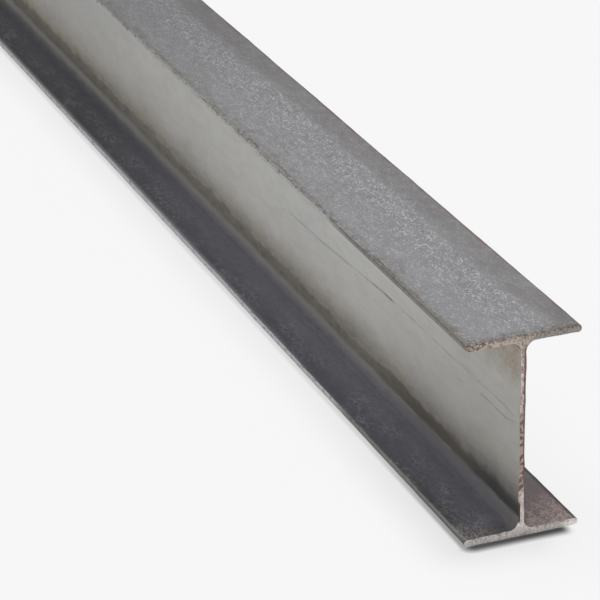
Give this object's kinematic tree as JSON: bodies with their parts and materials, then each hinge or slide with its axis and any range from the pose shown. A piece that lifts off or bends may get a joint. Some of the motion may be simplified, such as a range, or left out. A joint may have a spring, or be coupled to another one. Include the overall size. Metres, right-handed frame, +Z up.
{
  "type": "steel i-beam",
  "caption": "Light hot-rolled steel I-beam: parallel flanges on a thin web with rolled root fillets, sawn square at the ends, with weathered mill scale. Carries floors, lintels and frames.",
  "frame": {"origin": "centre of the lower flange's underside, halfway along the beam", "axes": "+X along the beam towards the end that the picture shows, +Y across the flanges away from the web side that the picture shows, +Z up from the lower flange to the upper one"},
  "size_m": [1.2192, 0.0572, 0.1016],
  "materials": {
    "rolled_steel": "weathered grey mill scale with light rust staining; bare sawn ends"
  },
  "bodies": {
    "root": {"i_beam": "rolled_steel"}
  },
  "joints": []
}
